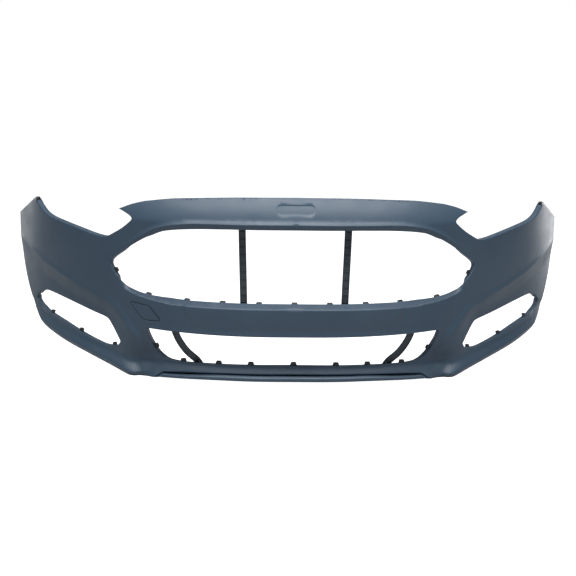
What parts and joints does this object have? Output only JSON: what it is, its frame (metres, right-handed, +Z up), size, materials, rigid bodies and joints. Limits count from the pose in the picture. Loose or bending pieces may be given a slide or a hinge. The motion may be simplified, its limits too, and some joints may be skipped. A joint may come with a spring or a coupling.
{
  "type": "front bumper cover",
  "caption": "Moulded front bumper cover with grille, intake and fog lamp openings, separate lip, braces and a hinged tow-eye cap.",
  "frame": {"origin": "centre of the top face of the centre fixing pad behind the bonnet edge", "axes": "+X to the right seen from the front, +Y back towards the car, +Z up"},
  "size_m": [1.83, 0.6085, 0.576],
  "materials": {
    "primed_plastic": "satin slate-blue primer on moulded plastic",
    "moulded_black": "unpainted moulded plastic, fine grain",
    "fixing_black": "black nylon, slight sheen",
    "zinc_plated": "zinc-plated spring steel"
  },
  "bodies": {
    "cover": {"fascia_nose": "primed_plastic", "fascia_bar": "primed_plastic", "fascia_lower_bar": "primed_plastic", "fascia_shoulder_right": "primed_plastic", "fascia_wing_right": "primed_plastic", "fascia_chin_right": "primed_plastic", "fascia_shoulder_left": "primed_plastic", "fascia_wing_left": "primed_plastic", "fascia_chin_left": "primed_plastic", "lower_lip": "primed_plastic", "lip_clip_1": "fixing_black", "lip_clip_2": "fixing_black", "lip_clip_3": "fixing_black", "lip_clip_4": "fixing_black", "grille_brace_left": "moulded_black", "intake_brace_left": "moulded_black", "grille_rivet_left_1": "fixing_black", "grille_rivet_left_2": "fixing_black", "intake_rivet_left_1": "fixing_black", "intake_rivet_left_2": "fixing_black", "wing_tip_clip_left": "fixing_black", "arch_nut_left_1": "zinc_plated", "arch_nut_left_2": "zinc_plated", "grille_brace_right": "moulded_black", "intake_brace_right": "moulded_black", "grille_rivet_right_1": "fixing_black", "grille_rivet_right_2": "fixing_black", "intake_rivet_right_1": "fixing_black", "intake_rivet_right_2": "fixing_black", "wing_tip_clip_right": "fixing_black", "arch_nut_right_1": "zinc_plated", "arch_nut_right_2": "zinc_plated"},
    "tow_cap": {"tow_eye_cap": "primed_plastic"}
  },
  "joints": [
    {"name": "tow_cap_hinge", "type": "hinge", "parent": "cover", "child": "tow_cap", "pos_m": [-0.4785, 0.02245, -0.331], "axis": [-0.8569, 0.5085, 0.0843], "range_deg": [0, 70]}
  ]
}
